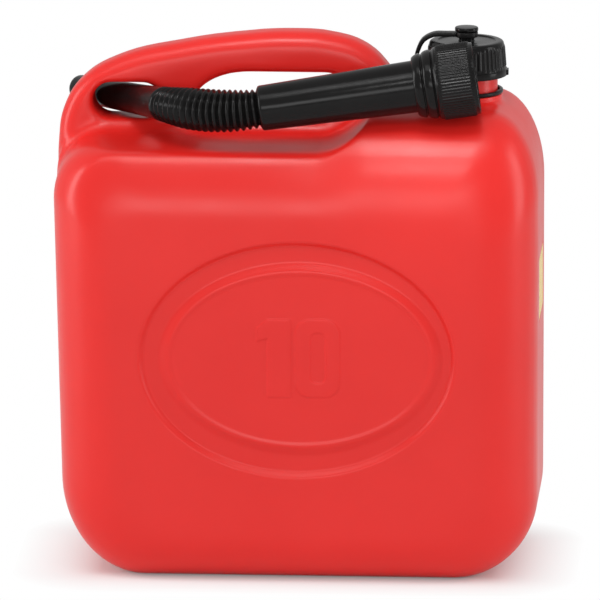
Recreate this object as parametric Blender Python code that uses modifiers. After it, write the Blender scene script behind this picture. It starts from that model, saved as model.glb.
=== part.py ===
"""Ten litre petrol can with a screw cap on a tether and a parked flexible spout.

Metres, +Z up, +X to the right, the front face towards -Y. The origin is the middle of the
can's footprint, on the surface that it stands on.
"""

import math

import bmesh
import bpy
from mathutils import Matrix, Vector

# Clearances
GAP = 0.0003
RUNNING_GAP = 0.0006
OVERRUN = 0.004

# Tank
TANK_WIDTH = 0.298
TANK_DEPTH = 0.160
SHOULDER_HEIGHT = 0.290
WALL = 0.0022
SIDE_RADIUS_SHARE = 0.25
FLOOR_RADIUS_SHARE = 0.1875
SHOULDER_RADIUS_SHARE = 0.2875
LEFT_LEAN = 0.0045
FLOOR_CORNER_LEFT_RUN = 0.051
FLOOR_CORNER_LEFT_RISE = 0.061
FLOOR_CORNER_RIGHT = 0.050
NECK_CORNER_RUN = 0.031
NECK_CORNER_RISE = 0.054
LEDGE_CORNER_RUN = 0.022
LEDGE_CORNER_RISE = 0.027

# Ledge that the spout lies on, and the sweep from it up to the shoulder
LEDGE_DROP = 0.0192
LEDGE_FALL_SHARE = 0.062
LEDGE_EDGE_SOFTNESS = 0.0012
SWEEP_START_SHARE = 0.0805
SWEEP_RUN = 0.034
SWEEP_SHARES = (
    (1.30, 1.0), (1.12, 0.95), (1.0, 0.83), (0.90, 0.66), (0.78, 0.48),
    (0.64, 0.32), (0.48, 0.18), (0.32, 0.08), (0.16, 0.02), (0.0, 0.0),
)

# Handle plate with its hand hole and its nozzle slot
HANDLE_THICKNESS = 0.030
HANDLE_EDGE_RADIUS = 0.011
HANDLE_INSET = 0.0004
HANDLE_TO_NECK = 0.0221
HANDLE_FOOT_DEPTH = 0.054
HANDLE_RISE = 0.0423
HANDLE_BAR = 0.0249
WEB_FILLET = 0.008
WEB_BITE = 0.0002
HOLE_EDGE_RADIUS = 0.005
HANDLE_CURVE_SHARES = (
    (0.0, 0.27), (0.015, 0.49), (0.066, 0.68), (0.158, 0.815), (0.343, 0.926),
    (0.498, 0.980), (0.628, 1.0), (0.737, 0.983), (0.826, 0.915), (0.886, 0.786),
    (0.917, 0.658), (0.947, 0.560),
)
HANDLE_FOOT_SHARES = ((1.0, 0.49), (1.0, 0.20), (0.0, 0.0))

HAND_HOLE_START_SHARE = 0.365
HAND_HOLE_LENGTH_SHARE = 0.428
HAND_HOLE_LIFT = 0.0092
HAND_HOLE_CORNER_SHARES = ((0.13, 0.40), (0.17, 0.52), (0.35, 0.76), (0.09, 0.22))

SLOT_START_SHARE = 0.0943
SLOT_LENGTH = 0.042
SLOT_LIFT = 0.0062
SLOT_HEIGHT = 0.0254

# Oval groove in the front and back faces
GROOVE_LENGTH_SHARE = 0.2993
GROOVE_HEIGHT_SHARE = 0.2217
GROOVE_CENTRE_SHARE = 0.49
GROOVE_HALF_WIDTH = 0.0105
GROOVE_HALF_DEPTH = 0.0035
GROOVE_STAND_OFF = 0.001

# Neck
NECK_INSET = 0.0465
NECK_RISE = 0.0315
NECK_RADIUS = 0.0202
NECK_BORE_RADIUS = 0.0174
NECK_LIP_CHAMFER = 0.0008
COLLAR_RADIUS = 0.0230
COLLAR_HEIGHT = 0.0042
NECK_ROOT_DEPTH = 0.005

# Tether: a ring on the collar, a strap and an eyelet
RING_RADIUS = 0.0238
RING_THICKNESS = 0.0030
STRAP_WIDTH = 0.0065
STRAP_THICKNESS = 0.0018
STRAP_BOW = 0.0100
STRAP_TUCK = 0.0010
EYE_RADIUS = 0.0070
EYE_THICKNESS = 0.0024
STRAP_SHARES = (
    (0.0, 0.0), (0.25, 0.012), (0.63, 0.055), (0.88, 0.16), (1.0, 0.30), (0.97, 0.40),
    (0.90, 0.50), (0.73, 0.66), (0.35, 0.83), (-0.23, 0.94), (-0.93, 0.99), (-1.5, 1.0),
)

# Cap
CAP_RADIUS = 0.0244
CAP_RIB_HEIGHT = 0.0007
CAP_RIB_COUNT = 40
CAP_BAND_MARGIN = 0.0025
CAP_FLANGE_RADIUS = 0.0259
CAP_FLANGE_HEIGHT = 0.0040
CAP_SKIRT = 0.0160
CAP_TOP_WALL = 0.0028
CAP_EDGE = 0.0012
STUD_RADIUS = 0.0048
STUD_LIFT = 0.0052
STUD_HEAD_RADIUS = 0.0072
STUD_HEAD_THICKNESS = 0.0025
STUD_HEAD_CHAMFER = 0.0007
GASKET_THICKNESS = 0.0020
GASKET_RIM = 0.0045

# Spout: the nozzle runs through the slot, and the nut lies beside the cap on the shoulder
NOZZLE_YAW = math.radians(55.0)
NOZZLE_PITCH_SHARE = 0.072
NOZZLE_LENGTH = 0.1045
NOZZLE_LEAD = 0.0477
NOZZLE_SHIFT = 0.0007
NOZZLE_SAG = 0.0012
BELLOWS_RUN = 0.0571
BELLOWS_SIDESTEP = 0.0209
BELLOWS_LIFT = 0.0024
BELLOWS_HANDLE_START = 0.026
BELLOWS_HANDLE_END = 0.018
NUT_BACK_STEP = 0.0290
NUT_SIDE_CLEARANCE = 0.0063
NUT_REST_OFFSET = 0.0050
NUT_SINK = 0.0016

# Spout sections
TUBE_RADIUS_AT_NUT = 0.0163
TUBE_RADIUS_AT_BELLOWS = 0.0139
SPOUT_WALL = 0.0018
TUBE_SHOULDER = 0.0012
RIB_COUNT = 17
RIB_CREST_RADIUS = 0.0136
RIB_DEPTH = 0.0019
RIB_TAPER_COUNT = 6
RIB_TAPER = 0.0021
NOZZLE_ROOT_RADIUS = 0.0100
NOZZLE_TIP_RADIUS = 0.0083
FLANGE_THICKNESS = 0.0025
FLANGE_ROOT = 0.0002

# Union nut, along its own axis from its closed end
NUT_LENGTH = 0.0380
NUT_SEAT_DEPTH = 0.0148
NUT_RADIUS = 0.0220
NUT_RIB_HEIGHT = 0.0006
NUT_RIB_COUNT = 40
NUT_BAND_MARGIN = 0.0018
NUT_SHOULDER_LENGTH = 0.0135
NUT_PROFILE_SHARES = (
    (1.0, 0.965), (0.93, 0.925), (0.86, 0.960), (0.66, 0.950), (0.50, 0.905),
    (0.42, 0.870), (0.34, 0.895), (0.16, 0.870), (0.0, 0.800),
)

# Sticker in its recess on the right side
LABEL_WIDTH = 0.056
LABEL_HEIGHT = 0.038
LABEL_CENTRE_Y = -0.002
LABEL_CENTRE_SHARE = 0.607
LABEL_THICKNESS = 0.0005
LABEL_MARGIN = 0.0008
LABEL_SINK = 0.0001

# Facet counts
FLATNESS_LIMIT = math.radians(0.01)
CORNER_STEPS = 6
HOLE_CORNER_STEPS = 4
CAVITY_CORNER_STEPS = 3
TURN_STEPS = 40
GROOVE_STEPS = 36
GROOVE_SIDES = 10
CAVITY_GROOVE_STEPS = 20
CAVITY_GROOVE_SIDES = 8
SHOULDER_LEVEL_DEGREES = (0, 15, 30, 45, 55, 62, 70, 78, 84, 90)
CAVITY_LEVEL_DEGREES = (0, 30, 50, 65, 90)
FILLET_LEVEL_DEGREES = (90, 60, 30, 0)
FLARE_LEVEL_DEGREES = (0, 45, 90)

HALF_WIDTH = TANK_WIDTH / 2
HALF_DEPTH = TANK_DEPTH / 2
HALF_WEB = HANDLE_THICKNESS / 2
SIDE_RADIUS = SIDE_RADIUS_SHARE * TANK_DEPTH
FLOOR_RADIUS = FLOOR_RADIUS_SHARE * TANK_DEPTH
SHOULDER_RADIUS = SHOULDER_RADIUS_SHARE * TANK_DEPTH
LEDGE_HEIGHT = SHOULDER_HEIGHT - LEDGE_DROP
SWEEP_START_X = SWEEP_START_SHARE * HALF_WIDTH
HANDLE_LEFT = -HALF_WIDTH + HANDLE_INSET
NECK_X = HALF_WIDTH - NECK_INSET
HANDLE_LENGTH = NECK_X - HANDLE_TO_NECK - HANDLE_LEFT
HANDLE_TOP = SHOULDER_HEIGHT + HANDLE_RISE
HANDLE_FOOT = SHOULDER_HEIGHT - HANDLE_FOOT_DEPTH
HAND_HOLE_LEFT = HANDLE_LEFT + HAND_HOLE_START_SHARE * HANDLE_LENGTH
HAND_HOLE_LENGTH = HAND_HOLE_LENGTH_SHARE * HANDLE_LENGTH
HAND_HOLE_BOTTOM = LEDGE_HEIGHT + HAND_HOLE_LIFT
HAND_HOLE_HEIGHT = HANDLE_TOP - HANDLE_BAR - HAND_HOLE_BOTTOM
SLOT_LEFT = HANDLE_LEFT + SLOT_START_SHARE * HANDLE_LENGTH
SLOT_BOTTOM = LEDGE_HEIGHT + SLOT_LIFT
GROOVE_HALF_LENGTH = GROOVE_LENGTH_SHARE * TANK_WIDTH
GROOVE_HALF_HEIGHT = GROOVE_HEIGHT_SHARE * SHOULDER_HEIGHT
GROOVE_CENTRE_X = LEFT_LEAN / 2
GROOVE_CENTRE_HEIGHT = GROOVE_CENTRE_SHARE * SHOULDER_HEIGHT
LABEL_CENTRE_HEIGHT = LABEL_CENTRE_SHARE * SHOULDER_HEIGHT
NECK_TOP_HEIGHT = SHOULDER_HEIGHT + NECK_RISE
CAP_BOTTOM_HEIGHT = NECK_TOP_HEIGHT - CAP_SKIRT
COLLAR_TOP = SHOULDER_HEIGHT + COLLAR_HEIGHT
CAP_INNER_TOP = NECK_TOP_HEIGHT + GASKET_THICKNESS + 2 * GAP
CAP_TOP = CAP_INNER_TOP + CAP_TOP_WALL
CAP_BORE_RADIUS = NECK_RADIUS + RUNNING_GAP
STUD_SHOULDER = CAP_TOP + STUD_LIFT + EYE_THICKNESS + GAP
RING_BOTTOM = COLLAR_TOP + GAP
RING_BORE_RADIUS = NECK_RADIUS + RUNNING_GAP
EYE_BOTTOM = CAP_TOP + STUD_LIFT
NUT_MOUTH_RADIUS = NECK_RADIUS + RUNNING_GAP
FLANGE_RADIUS = NUT_MOUTH_RADIUS - RUNNING_GAP
NUT_OUTER_RADIUS = NUT_RADIUS + GAP + NUT_RIB_HEIGHT


# Scene set-up

def clear_scene():
    for item in list(bpy.data.objects):
        bpy.data.objects.remove(item, do_unlink=True)


def make_collection(name):
    collection = bpy.data.collections.new(name)
    bpy.context.scene.collection.children.link(collection)
    return collection


def make_material(name, colour, roughness):
    material = bpy.data.materials.new(name)
    material.use_nodes = True
    shader = material.node_tree.nodes["Principled BSDF"]
    shader.inputs["Base Color"].default_value = (*colour, 1.0)
    shader.inputs["Roughness"].default_value = roughness
    shader.inputs["Metallic"].default_value = 0.0
    return material


clear_scene()
PARTS = make_collection("fuel_can")
CUTTERS = make_collection("cutters")
RED = make_material("red_plastic", (0.72, 0.03, 0.025), 0.38)
BLACK = make_material("black_plastic", (0.02, 0.02, 0.02), 0.42)
STRAP_BLACK = make_material("tether_plastic", (0.025, 0.025, 0.025), 0.5)
SEAL = make_material("seal_rubber", (0.05, 0.05, 0.05), 0.75)
YELLOW = make_material("label_film", (0.85, 0.55, 0.05), 0.45)


# Object helpers

def add_object(name, mesh, collection):
    item = bpy.data.objects.new(name, mesh)
    collection.objects.link(item)
    if collection == CUTTERS:
        item.hide_render = True
        item.display_type = 'WIRE'
    return item


def finish(item, material, angle=35.0):
    item.data.materials.clear()
    item.data.materials.append(material)
    item.data.shade_smooth()
    item.data.set_sharp_from_angle(angle=math.radians(angle))


def boolean(target, tool, operation):
    modifier = target.modifiers.new(operation.lower() + "_" + tool.name, 'BOOLEAN')
    modifier.operation = operation
    modifier.object = tool


def curve_to_mesh(item, collection):
    """Turn a curve object into a mesh object with welded caps."""
    bpy.context.view_layer.update()
    depsgraph = bpy.context.evaluated_depsgraph_get()
    mesh = bpy.data.meshes.new_from_object(item.evaluated_get(depsgraph))
    name = item.name
    matrix = item.matrix_world.copy()
    bpy.data.objects.remove(item, do_unlink=True)
    work = bmesh.new()
    work.from_mesh(mesh)
    bmesh.ops.remove_doubles(work, verts=work.verts, dist=GAP / 100)
    bmesh.ops.recalc_face_normals(work, faces=work.faces)
    work.to_mesh(mesh)
    work.free()
    solid = add_object(name, mesh, collection)
    solid.matrix_world = matrix
    return solid


def loft(name, rings, collection, joined_ends=False):
    """Skin a row of closed rings that have the same number of points."""
    work = bmesh.new()
    rows = [[work.verts.new(point) for point in ring] for ring in rings]
    count = len(rows[0])
    pairs = list(zip(rows, rows[1:]))
    if joined_ends:
        pairs.append((rows[-1], rows[0]))
    for near, far in pairs:
        for i in range(count):
            j = (i + 1) % count
            work.faces.new((near[i], near[j], far[j], far[i]))
    if not joined_ends:
        work.faces.new(rows[0])
        work.faces.new(rows[-1])
    bmesh.ops.connect_verts_nonplanar(work, angle_limit=FLATNESS_LIMIT, faces=work.faces)
    bmesh.ops.recalc_face_normals(work, faces=work.faces)
    mesh = bpy.data.meshes.new(name)
    work.to_mesh(mesh)
    work.free()
    return add_object(name, mesh, collection)


def turned(name, profile, collection, matrix):
    """Turn a profile of (radius, height) about local Z, listed down its outer side."""
    mesh = bpy.data.meshes.new(name)
    points = [(radius, 0.0, height) for radius, height in profile]
    closed = profile[0][0] > 0 or profile[-1][0] > 0
    edges = [(i, i + 1) for i in range(len(points) - 1)]
    if closed:
        edges.append((len(points) - 1, 0))
    mesh.from_pydata(points, edges, [])
    item = add_object(name, mesh, collection)
    item.matrix_world = matrix
    screw = item.modifiers.new("turn", 'SCREW')
    screw.angle = math.tau
    screw.steps = TURN_STEPS
    screw.render_steps = TURN_STEPS
    screw.use_merge_vertices = True
    screw.merge_threshold = GAP / 100
    return item


def flat_curve(name, outlines, thickness, collection, matrix):
    """Fill closed outlines in local XY, with holes, to a plate centred on local Z = 0."""
    data = bpy.data.curves.new(name, 'CURVE')
    data.dimensions = '2D'
    data.fill_mode = 'BOTH'
    data.extrude = thickness / 2
    for outline in outlines:
        spline = data.splines.new('POLY')
        spline.points.add(len(outline) - 1)
        for point, (x, y) in zip(spline.points, outline):
            point.co = (x, y, 0.0, 1.0)
        spline.use_cyclic_u = True
    item = add_object(name, data, collection)
    item.matrix_world = matrix
    return curve_to_mesh(item, collection)


def tube_curve(name, stations, collection):
    """A round tube through (point, radius) stations, with filled caps."""
    data = bpy.data.curves.new(name, 'CURVE')
    data.dimensions = '3D'
    data.bevel_depth = 1.0
    data.bevel_resolution = 4
    data.use_fill_caps = True
    data.twist_mode = 'Z_UP'
    spline = data.splines.new('POLY')
    spline.points.add(len(stations) - 1)
    for point, (place, radius) in zip(spline.points, stations):
        point.co = (*place, 1.0)
        point.radius = radius
    item = add_object(name, data, collection)
    return curve_to_mesh(item, collection)


def circle(radius, count):
    return [
        (radius * math.cos(math.tau * i / count), radius * math.sin(math.tau * i / count))
        for i in range(count)
    ]


def ribbed_circle(radius, rib_height, count):
    """An outline with one raised rib for each step round the circle."""
    outline = []
    for i in range(count):
        for share, height in ((0.0, 0.0), (0.25, rib_height), (0.60, rib_height), (0.85, 0.0)):
            angle = math.tau * (i + share) / count
            outline.append(((radius + height) * math.cos(angle), (radius + height) * math.sin(angle)))
    return outline


# Outlines in the front view

def rounding(radius, beyond):
    """How far a quarter round has fallen away, this far past its start."""
    reach = min(max(beyond, 0.0), radius)
    return radius - math.sqrt(max(radius * radius - reach * reach, 0.0))


def soft_min(a, b, softness):
    return (a + b) / 2 - math.hypot((a - b) / 2, softness)


def corner(centre, radii, start, steps):
    """Quarter of an ellipse, from this many quarter turns, anticlockwise."""
    points = []
    for i in range(steps + 1):
        angle = math.pi / 2 * (start + i / steps)
        points.append((centre[0] + radii[0] * math.cos(angle), centre[1] + radii[1] * math.sin(angle)))
    return points


def box_outline(left, right, bottom, top, corners, steps, top_edge=(), lean=0.0):
    """A box with elliptical corners: bottom right, top right, top left, bottom left."""
    low_right, high_right, high_left, low_left = corners
    outline = corner((right - low_right[0], bottom + low_right[1]), low_right, -1, steps)
    outline += corner((right - high_right[0], top - high_right[1]), high_right, 0, steps)
    outline += list(top_edge)
    left_top = top_edge[-1][1] if top_edge else top
    outline += corner((left + high_left[0], left_top - high_left[1]), high_left, 1, steps)
    outline += corner((left + lean + low_left[0], bottom + low_left[1]), low_left, 2, steps)
    return outline


def tank_outline(depth, wall, steps):
    """The tank's section this far from the middle plane, shrunk by a wall."""
    side_inset = rounding(SIDE_RADIUS - wall, depth - (HALF_DEPTH - SIDE_RADIUS))
    side = HALF_WIDTH - wall - side_inset
    floor = wall + rounding(FLOOR_RADIUS - wall, depth - (HALF_DEPTH - FLOOR_RADIUS))
    top_inset = rounding(SHOULDER_RADIUS - wall, depth - (HALF_DEPTH - SHOULDER_RADIUS))
    top = SHOULDER_HEIGHT - wall - top_inset
    ledge = LEDGE_HEIGHT - wall - LEDGE_FALL_SHARE * max(depth - HALF_WEB, 0.0)
    if wall == 0:
        ledge += rounding(WEB_FILLET, HALF_WEB - WEB_BITE + WEB_FILLET - depth)
    left_top = soft_min(top, ledge, LEDGE_EDGE_SOFTNESS)
    sweep = [
        (SWEEP_START_X + run * SWEEP_RUN, left_top + rise * (top - left_top))
        for run, rise in SWEEP_SHARES
    ]
    floor_left = (FLOOR_CORNER_LEFT_RUN - wall - 0.6 * side_inset,
                  FLOOR_CORNER_LEFT_RISE - wall - 0.7 * side_inset)
    floor_right = (FLOOR_CORNER_RIGHT - wall - 0.6 * side_inset,) * 2
    neck_corner = (NECK_CORNER_RUN - wall - 0.2 * side_inset, NECK_CORNER_RISE - wall - 0.48 * top_inset)
    ledge_corner = (LEDGE_CORNER_RUN - wall, LEDGE_CORNER_RISE - wall)
    corners = (floor_right, neck_corner, ledge_corner, floor_left)
    return box_outline(-side, side, floor, top, corners, steps, sweep, LEFT_LEAN)


def mirrored_rings(levels, outline_at):
    """Rings from front to back at plus and minus each depth, deepest first."""
    front = [[Vector((x, -depth, z)) for x, z in outline_at(depth)] for depth in levels]
    back = [[Vector((point.x, -point.y, point.z)) for point in ring] for ring in reversed(front)]
    return front + back


# Can body

def shoulder_levels(degrees, wall):
    start = HALF_DEPTH - SHOULDER_RADIUS
    reach = SHOULDER_RADIUS - wall
    return [start + reach * math.sin(math.radians(angle)) for angle in reversed(degrees)]


def tank_shell():
    fillet_start = HALF_WEB - WEB_BITE + WEB_FILLET
    levels = shoulder_levels(SHOULDER_LEVEL_DEGREES, 0.0)
    levels += [
        fillet_start - WEB_FILLET * math.sin(math.radians(angle))
        for angle in reversed(FILLET_LEVEL_DEGREES)
    ]
    return loft("can_body", mirrored_rings(levels, lambda d: tank_outline(d, 0.0, CORNER_STEPS)), PARTS)


def tank_cavity():
    levels = shoulder_levels(CAVITY_LEVEL_DEGREES, WALL) + [HALF_WEB]
    rings = mirrored_rings(levels, lambda d: tank_outline(d, WALL, CAVITY_CORNER_STEPS))
    return loft("tank_cavity", rings, CUTTERS)


def stand_upright():
    """Local XY becomes the front view's XZ, and local Z points to the front."""
    return Matrix.Rotation(math.pi / 2, 4, 'X')


def handle_plate(name, wall, curve_steps, edge_steps):
    """The handle's outline, inset by its edge radius and swelled again by its round edge."""
    rise = HANDLE_TOP - HANDLE_FOOT
    data = bpy.data.curves.new(name, 'CURVE')
    data.dimensions = '2D'
    data.fill_mode = 'BOTH'
    data.resolution_u = curve_steps
    data.extrude = HALF_WEB - HANDLE_EDGE_RADIUS
    data.bevel_depth = HANDLE_EDGE_RADIUS - wall
    data.bevel_resolution = edge_steps
    data.offset = -HANDLE_EDGE_RADIUS
    spline = data.splines.new('BEZIER')
    shares = HANDLE_CURVE_SHARES + HANDLE_FOOT_SHARES
    spline.bezier_points.add(len(shares) - 1)
    for i, (point, (along, up)) in enumerate(zip(spline.bezier_points, shares)):
        handle_type = 'AUTO' if i < len(HANDLE_CURVE_SHARES) else 'VECTOR'
        point.co = (HANDLE_LEFT + along * HANDLE_LENGTH, HANDLE_FOOT + up * rise, 0.0)
        point.handle_left_type = handle_type
        point.handle_right_type = handle_type
    spline.use_cyclic_u = True
    item = add_object(name, data, CUTTERS)
    item.matrix_world = stand_upright()
    return curve_to_mesh(item, CUTTERS)


def flared_hole(name, left, length, bottom, height, corner_shares, grow):
    """A hole through the plate whose rim is rounded where it meets both faces."""
    start = HALF_WEB + WEB_BITE - HOLE_EDGE_RADIUS
    reach = HALF_WEB + WEB_FILLET + OVERRUN
    turns = [start + HOLE_EDGE_RADIUS * math.sin(math.radians(angle)) for angle in FLARE_LEVEL_DEGREES]
    levels = [reach] + list(reversed(turns)) + [start - OVERRUN]

    def outline_at(depth):
        flare = grow + rounding(HOLE_EDGE_RADIUS, depth + grow - start)
        corners = [(length * run + flare, height * rise + flare) for run, rise in corner_shares]
        return box_outline(left - flare, left + length + flare, bottom - flare,
                           bottom + height + flare, corners, HOLE_CORNER_STEPS)

    return loft(name, mirrored_rings(levels, outline_at), CUTTERS)


def hand_hole(name, grow):
    return flared_hole(name, HAND_HOLE_LEFT, HAND_HOLE_LENGTH, HAND_HOLE_BOTTOM, HAND_HOLE_HEIGHT,
                       HAND_HOLE_CORNER_SHARES, grow)


def nozzle_slot(name, grow):
    end_share = SLOT_HEIGHT / SLOT_LENGTH / 2
    return flared_hole(name, SLOT_LEFT, SLOT_LENGTH, SLOT_BOTTOM, SLOT_HEIGHT,
                       ((end_share, 0.499),) * 4, grow)


def oval_groove(name, side, grow, steps, sides):
    """A flattened tube along the oval, set into the front or back face."""
    half_width = GROOVE_HALF_WIDTH + grow
    flatness = (GROOVE_HALF_DEPTH + grow) / half_width
    rings = []
    for i in range(steps):
        angle = math.tau * i / steps
        centre = Vector((GROOVE_HALF_LENGTH * math.cos(angle), GROOVE_HALF_HEIGHT * math.sin(angle)))
        out = Vector((GROOVE_HALF_HEIGHT * math.cos(angle), GROOVE_HALF_LENGTH * math.sin(angle))).normalized()
        ring = []
        for x, y in circle(half_width, sides):
            place = centre + out * x
            depth = HALF_DEPTH + GROOVE_STAND_OFF - y * flatness
            ring.append(Vector((GROOVE_CENTRE_X + place.x, side * depth,
                                GROOVE_CENTRE_HEIGHT + place.y)))
        rings.append(ring)
    return loft(name, rings, CUTTERS, joined_ends=True)


def side_box(name, inner_offset, outer_offset, margin, collection):
    """A flat box on the right side, between two depths below its surface."""
    depth = inner_offset - outer_offset
    size = (depth, LABEL_WIDTH + 2 * margin, LABEL_HEIGHT + 2 * margin)
    centre = Vector((HALF_WIDTH - outer_offset - depth / 2, LABEL_CENTRE_Y, LABEL_CENTRE_HEIGHT))
    work = bmesh.new()
    bmesh.ops.create_cube(work, size=1.0, matrix=Matrix.Diagonal((*size, 1.0)))
    mesh = bpy.data.meshes.new(name)
    work.to_mesh(mesh)
    work.free()
    item = add_object(name, mesh, collection)
    item.location = centre
    return item


def label_recess(name, grow):
    floor_offset = LABEL_SINK + LABEL_THICKNESS + GAP + grow
    return side_box(name, floor_offset, -OVERRUN, LABEL_MARGIN + grow, CUTTERS)


def neck_matrix():
    return Matrix.Translation((NECK_X, 0.0, 0.0))


def neck_spigot():
    profile = (
        (0.0, NECK_TOP_HEIGHT),
        (NECK_RADIUS - NECK_LIP_CHAMFER, NECK_TOP_HEIGHT),
        (NECK_RADIUS, NECK_TOP_HEIGHT - NECK_LIP_CHAMFER),
        (NECK_RADIUS, COLLAR_TOP),
        (COLLAR_RADIUS, COLLAR_TOP),
        (COLLAR_RADIUS, SHOULDER_HEIGHT - NECK_ROOT_DEPTH),
        (0.0, SHOULDER_HEIGHT - NECK_ROOT_DEPTH),
    )
    return turned("neck_spigot", profile, CUTTERS, neck_matrix())


def neck_bore():
    profile = (
        (0.0, NECK_TOP_HEIGHT + OVERRUN),
        (NECK_BORE_RADIUS, NECK_TOP_HEIGHT + OVERRUN),
        (NECK_BORE_RADIUS, SHOULDER_HEIGHT - WALL - OVERRUN),
        (0.0, SHOULDER_HEIGHT - WALL - OVERRUN),
    )
    return turned("neck_bore", profile, CUTTERS, neck_matrix())


def can_body():
    body = tank_shell()
    cavity = tank_cavity()
    boolean(cavity, handle_plate("handle_cavity", WALL, 2, 1), 'UNION')
    boolean(cavity, hand_hole("hand_hole_wall", WALL), 'DIFFERENCE')
    boolean(cavity, nozzle_slot("nozzle_slot_wall", WALL), 'DIFFERENCE')
    for name, side in (("groove_front_wall", -1), ("groove_back_wall", 1)):
        groove = oval_groove(name, side, WALL, CAVITY_GROOVE_STEPS, CAVITY_GROOVE_SIDES)
        boolean(cavity, groove, 'DIFFERENCE')
    boolean(cavity, label_recess("label_recess_wall", WALL), 'DIFFERENCE')
    boolean(body, handle_plate("handle_plate", 0.0, 3, 2), 'UNION')
    boolean(body, neck_spigot(), 'UNION')
    boolean(body, hand_hole("hand_hole", 0.0), 'DIFFERENCE')
    boolean(body, nozzle_slot("nozzle_slot", 0.0), 'DIFFERENCE')
    for name, side in (("groove_front", -1), ("groove_back", 1)):
        boolean(body, oval_groove(name, side, 0.0, GROOVE_STEPS, GROOVE_SIDES), 'DIFFERENCE')
    boolean(body, label_recess("label_recess", 0.0), 'DIFFERENCE')
    boolean(body, cavity, 'DIFFERENCE')
    boolean(body, neck_bore(), 'DIFFERENCE')
    finish(body, RED, 30.0)
    return body


def side_label():
    sticker = side_box("side_label", LABEL_SINK + LABEL_THICKNESS, LABEL_SINK, 0.0, PARTS)
    finish(sticker, YELLOW)
    return sticker


# Cap, gasket and tether

def ribbed_band(name, radius, rib_height, count, inner_radius, length, matrix):
    outlines = [ribbed_circle(radius, rib_height, count), circle(inner_radius, TURN_STEPS)]
    return flat_curve(name, outlines, length, CUTTERS, matrix)


def neck_cap():
    flange_top = CAP_BOTTOM_HEIGHT + CAP_FLANGE_HEIGHT
    head_top = STUD_SHOULDER + STUD_HEAD_THICKNESS
    profile = (
        (0.0, head_top),
        (STUD_HEAD_RADIUS - STUD_HEAD_CHAMFER, head_top),
        (STUD_HEAD_RADIUS, head_top - STUD_HEAD_CHAMFER),
        (STUD_HEAD_RADIUS, STUD_SHOULDER),
        (STUD_RADIUS, STUD_SHOULDER),
        (STUD_RADIUS, CAP_TOP),
        (CAP_RADIUS - CAP_EDGE, CAP_TOP),
        (CAP_RADIUS, CAP_TOP - CAP_EDGE),
        (CAP_RADIUS, flange_top + (CAP_FLANGE_RADIUS - CAP_RADIUS)),
        (CAP_FLANGE_RADIUS, flange_top),
        (CAP_FLANGE_RADIUS, CAP_BOTTOM_HEIGHT),
        (CAP_BORE_RADIUS, CAP_BOTTOM_HEIGHT),
        (CAP_BORE_RADIUS, CAP_INNER_TOP),
        (0.0, CAP_INNER_TOP),
    )
    cap = turned("neck_cap", profile, PARTS, neck_matrix())
    band_bottom = flange_top + CAP_BAND_MARGIN
    band_top = CAP_TOP - CAP_BAND_MARGIN
    matrix = Matrix.Translation((NECK_X, 0.0, (band_bottom + band_top) / 2))
    inner_radius = (CAP_RADIUS + CAP_BORE_RADIUS) / 2
    band = ribbed_band("cap_ribs", CAP_RADIUS + GAP, CAP_RIB_HEIGHT, CAP_RIB_COUNT, inner_radius,
                       band_top - band_bottom, matrix)
    boolean(cap, band, 'UNION')
    finish(cap, BLACK)
    return cap


def washer_profile(outer_radius, inner_radius, bottom, thickness):
    return (
        (outer_radius, bottom + thickness),
        (outer_radius, bottom),
        (inner_radius, bottom),
        (inner_radius, bottom + thickness),
    )


def cap_gasket():
    outer_radius = CAP_BORE_RADIUS - GAP
    profile = washer_profile(outer_radius, outer_radius - GASKET_RIM, NECK_TOP_HEIGHT + GAP,
                             GASKET_THICKNESS)
    gasket = turned("cap_gasket", profile, PARTS, neck_matrix())
    finish(gasket, SEAL)
    return gasket


def strap_line():
    """The strap's centre line in the front view, from inside the ring to just short of the eyelet."""
    foot = Vector((NECK_X - RING_RADIUS + STRAP_TUCK, RING_BOTTOM + RING_THICKNESS / 2))
    rise = EYE_BOTTOM + EYE_THICKNESS / 2 - foot.y
    line = [Vector((foot.x - bow * STRAP_BOW, foot.y + up * rise)) for bow, up in STRAP_SHARES]
    line[-1].x = NECK_X - EYE_RADIUS - GAP
    return line


def ribbon_outline(line, thickness):
    """Both sides of a line as one closed outline."""
    left = []
    right = []
    for i, place in enumerate(line):
        ahead = line[min(i + 1, len(line) - 1)] - line[max(i - 1, 0)]
        out = Vector((-ahead.y, ahead.x)).normalized() * thickness / 2
        left.append(tuple(place + out))
        right.append(tuple(place - out))
    return left + list(reversed(right))


def tether_band():
    profile = washer_profile(RING_RADIUS, RING_BORE_RADIUS, RING_BOTTOM, RING_THICKNESS)
    band = turned("tether_band", profile, PARTS, neck_matrix())
    outline = ribbon_outline(strap_line(), STRAP_THICKNESS)
    strap = flat_curve("strap", [outline], STRAP_WIDTH, CUTTERS, stand_upright())
    boolean(band, strap, 'UNION')
    finish(band, STRAP_BLACK)
    return band


def tether_eye():
    profile = washer_profile(EYE_RADIUS, STUD_RADIUS + GAP, EYE_BOTTOM, EYE_THICKNESS)
    eye = turned("tether_eye", profile, PARTS, neck_matrix())
    finish(eye, STRAP_BLACK)
    return eye


# Spout

def nozzle_direction():
    flat = Vector((-math.cos(NOZZLE_YAW), math.sin(NOZZLE_YAW), -NOZZLE_PITCH_SHARE))
    return flat.normalized()


def bellows_end():
    """The nozzle's root, this far in front of where the nozzle crosses the slot."""
    crossing = Vector((SLOT_LEFT + SLOT_LENGTH / 2 - NOZZLE_SHIFT, 0.0,
                       SLOT_BOTTOM + SLOT_HEIGHT / 2 - NOZZLE_SAG))
    return crossing - nozzle_direction() * NOZZLE_LEAD


def bellows_start():
    return bellows_end() + Vector((BELLOWS_RUN, -BELLOWS_SIDESTEP, BELLOWS_LIFT))


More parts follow.
